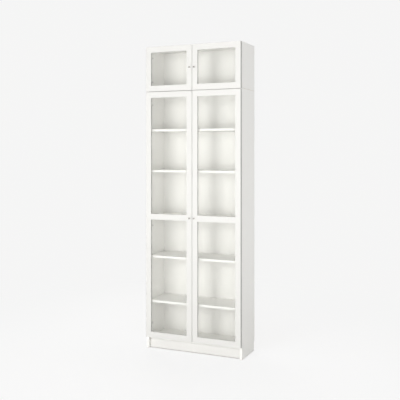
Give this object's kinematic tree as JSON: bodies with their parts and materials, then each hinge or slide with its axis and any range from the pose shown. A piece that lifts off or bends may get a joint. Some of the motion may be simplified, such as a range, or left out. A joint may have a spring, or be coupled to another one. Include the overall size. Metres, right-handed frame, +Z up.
{
  "type": "bookcase",
  "caption": "Tall white bookcase of two stacked units with shelves behind framed glass doors that swing open on concealed cup hinges.",
  "frame": {"origin": "on the floor, under the middle of the whole bookcase, knobs included", "axes": "+Z up, +X to the right as one faces the doors, and the doors face -Y"},
  "size_m": [0.8, 0.318, 2.37],
  "materials": {
    "white_foil": "white foil on particle board",
    "white_shelf_foil": "white foil on particle board",
    "white_back": "white printed fibreboard",
    "white_lacquer": "satin white lacquer on fibreboard",
    "clear_glass": "clear",
    "satin_nickel": "satin nickel plate",
    "nickel_steel": "nickel-plated steel",
    "steel_pressing": "plain plated steel"
  },
  "bodies": {
    "case": {"tall_left_side": "white_foil", "tall_right_side": "white_foil", "tall_top_panel": "white_foil", "bottom_panel": "white_foil", "plinth": "white_foil", "fixed_shelf": "white_foil", "adjustable_shelf_1": "white_shelf_foil", "adjustable_shelf_2": "white_shelf_foil", "adjustable_shelf_3": "white_shelf_foil", "adjustable_shelf_4": "white_shelf_foil", "tall_back_panel": "white_back", "upper_left_side": "white_foil", "upper_right_side": "white_foil", "upper_bottom_panel": "white_foil", "upper_top_panel": "white_foil", "upper_back_panel": "white_back", "left_tall_hinge_1_arm": "nickel_steel", "left_tall_hinge_2_arm": "nickel_steel", "left_tall_hinge_3_arm": "nickel_steel", "right_tall_hinge_1_arm": "nickel_steel", "right_tall_hinge_2_arm": "nickel_steel", "right_tall_hinge_3_arm": "nickel_steel", "left_upper_hinge_1_arm": "nickel_steel", "left_upper_hinge_2_arm": "nickel_steel", "right_upper_hinge_1_arm": "nickel_steel", "right_upper_hinge_2_arm": "nickel_steel"},
    "left_tall_link": {"left_tall_hinge_1_link": "steel_pressing", "left_tall_hinge_2_link": "steel_pressing", "left_tall_hinge_3_link": "steel_pressing"},
    "left_tall_door": {"left_tall_door_frame": "white_lacquer", "left_tall_glass_upper": "clear_glass", "left_tall_glass_lower": "clear_glass", "left_tall_knob": "satin_nickel", "left_tall_hinge_1_cup": "nickel_steel", "left_tall_hinge_2_cup": "nickel_steel", "left_tall_hinge_3_cup": "nickel_steel"},
    "right_tall_link": {"right_tall_hinge_1_link": "steel_pressing", "right_tall_hinge_2_link": "steel_pressing", "right_tall_hinge_3_link": "steel_pressing"},
    "right_tall_door": {"right_tall_door_frame": "white_lacquer", "right_tall_glass_upper": "clear_glass", "right_tall_glass_lower": "clear_glass", "right_tall_knob": "satin_nickel", "right_tall_hinge_1_cup": "nickel_steel", "right_tall_hinge_2_cup": "nickel_steel", "right_tall_hinge_3_cup": "nickel_steel"},
    "left_upper_link": {"left_upper_hinge_1_link": "steel_pressing", "left_upper_hinge_2_link": "steel_pressing"},
    "left_upper_door": {"left_upper_door_frame": "white_lacquer", "left_upper_glass": "clear_glass", "left_upper_knob": "satin_nickel", "left_upper_hinge_1_cup": "nickel_steel", "left_upper_hinge_2_cup": "nickel_steel"},
    "right_upper_link": {"right_upper_hinge_1_link": "steel_pressing", "right_upper_hinge_2_link": "steel_pressing"},
    "right_upper_door": {"right_upper_door_frame": "white_lacquer", "right_upper_glass": "clear_glass", "right_upper_knob": "satin_nickel", "right_upper_hinge_1_cup": "nickel_steel", "right_upper_hinge_2_cup": "nickel_steel"}
  },
  "joints": [
    {"name": "left_tall_link_pivot", "type": "hinge", "parent": "case", "child": "left_tall_link", "pos_m": [-0.3615, -0.127, 1.0525], "axis": [0, 0, 1], "range_deg": [0, 30]},
    {"name": "left_tall_door_pivot", "type": "hinge", "parent": "left_tall_link", "child": "left_tall_door", "pos_m": [-0.3875, -0.1236, 1.0525], "axis": [0, 0, -1], "range_deg": [0, 130]},
    {"name": "right_tall_link_pivot", "type": "hinge", "parent": "case", "child": "right_tall_link", "pos_m": [0.3615, -0.127, 1.0525], "axis": [0, 0, -1], "range_deg": [0, 30]},
    {"name": "right_tall_door_pivot", "type": "hinge", "parent": "right_tall_link", "child": "right_tall_door", "pos_m": [0.3875, -0.1236, 1.0525], "axis": [0, 0, 1], "range_deg": [0, 130]},
    {"name": "left_upper_link_pivot", "type": "hinge", "parent": "case", "child": "left_upper_link", "pos_m": [-0.3615, -0.127, 2.1935], "axis": [0, 0, 1], "range_deg": [0, 30]},
    {"name": "left_upper_door_pivot", "type": "hinge", "parent": "left_upper_link", "child": "left_upper_door", "pos_m": [-0.3875, -0.1236, 2.1935], "axis": [0, 0, -1], "range_deg": [0, 130]},
    {"name": "right_upper_link_pivot", "type": "hinge", "parent": "case", "child": "right_upper_link", "pos_m": [0.3615, -0.127, 2.1935], "axis": [0, 0, -1], "range_deg": [0, 30]},
    {"name": "right_upper_door_pivot", "type": "hinge", "parent": "right_upper_link", "child": "right_upper_door", "pos_m": [0.3875, -0.1236, 2.1935], "axis": [0, 0, 1], "range_deg": [0, 130]}
  ],
  "couplings": [
    {"joint": "left_tall_link_pivot", "follows": "left_tall_door_pivot", "ratio": 0.23077},
    {"joint": "right_tall_link_pivot", "follows": "right_tall_door_pivot", "ratio": 0.23077},
    {"joint": "left_upper_link_pivot", "follows": "left_upper_door_pivot", "ratio": 0.23077},
    {"joint": "right_upper_link_pivot", "follows": "right_upper_door_pivot", "ratio": 0.23077}
  ]
}
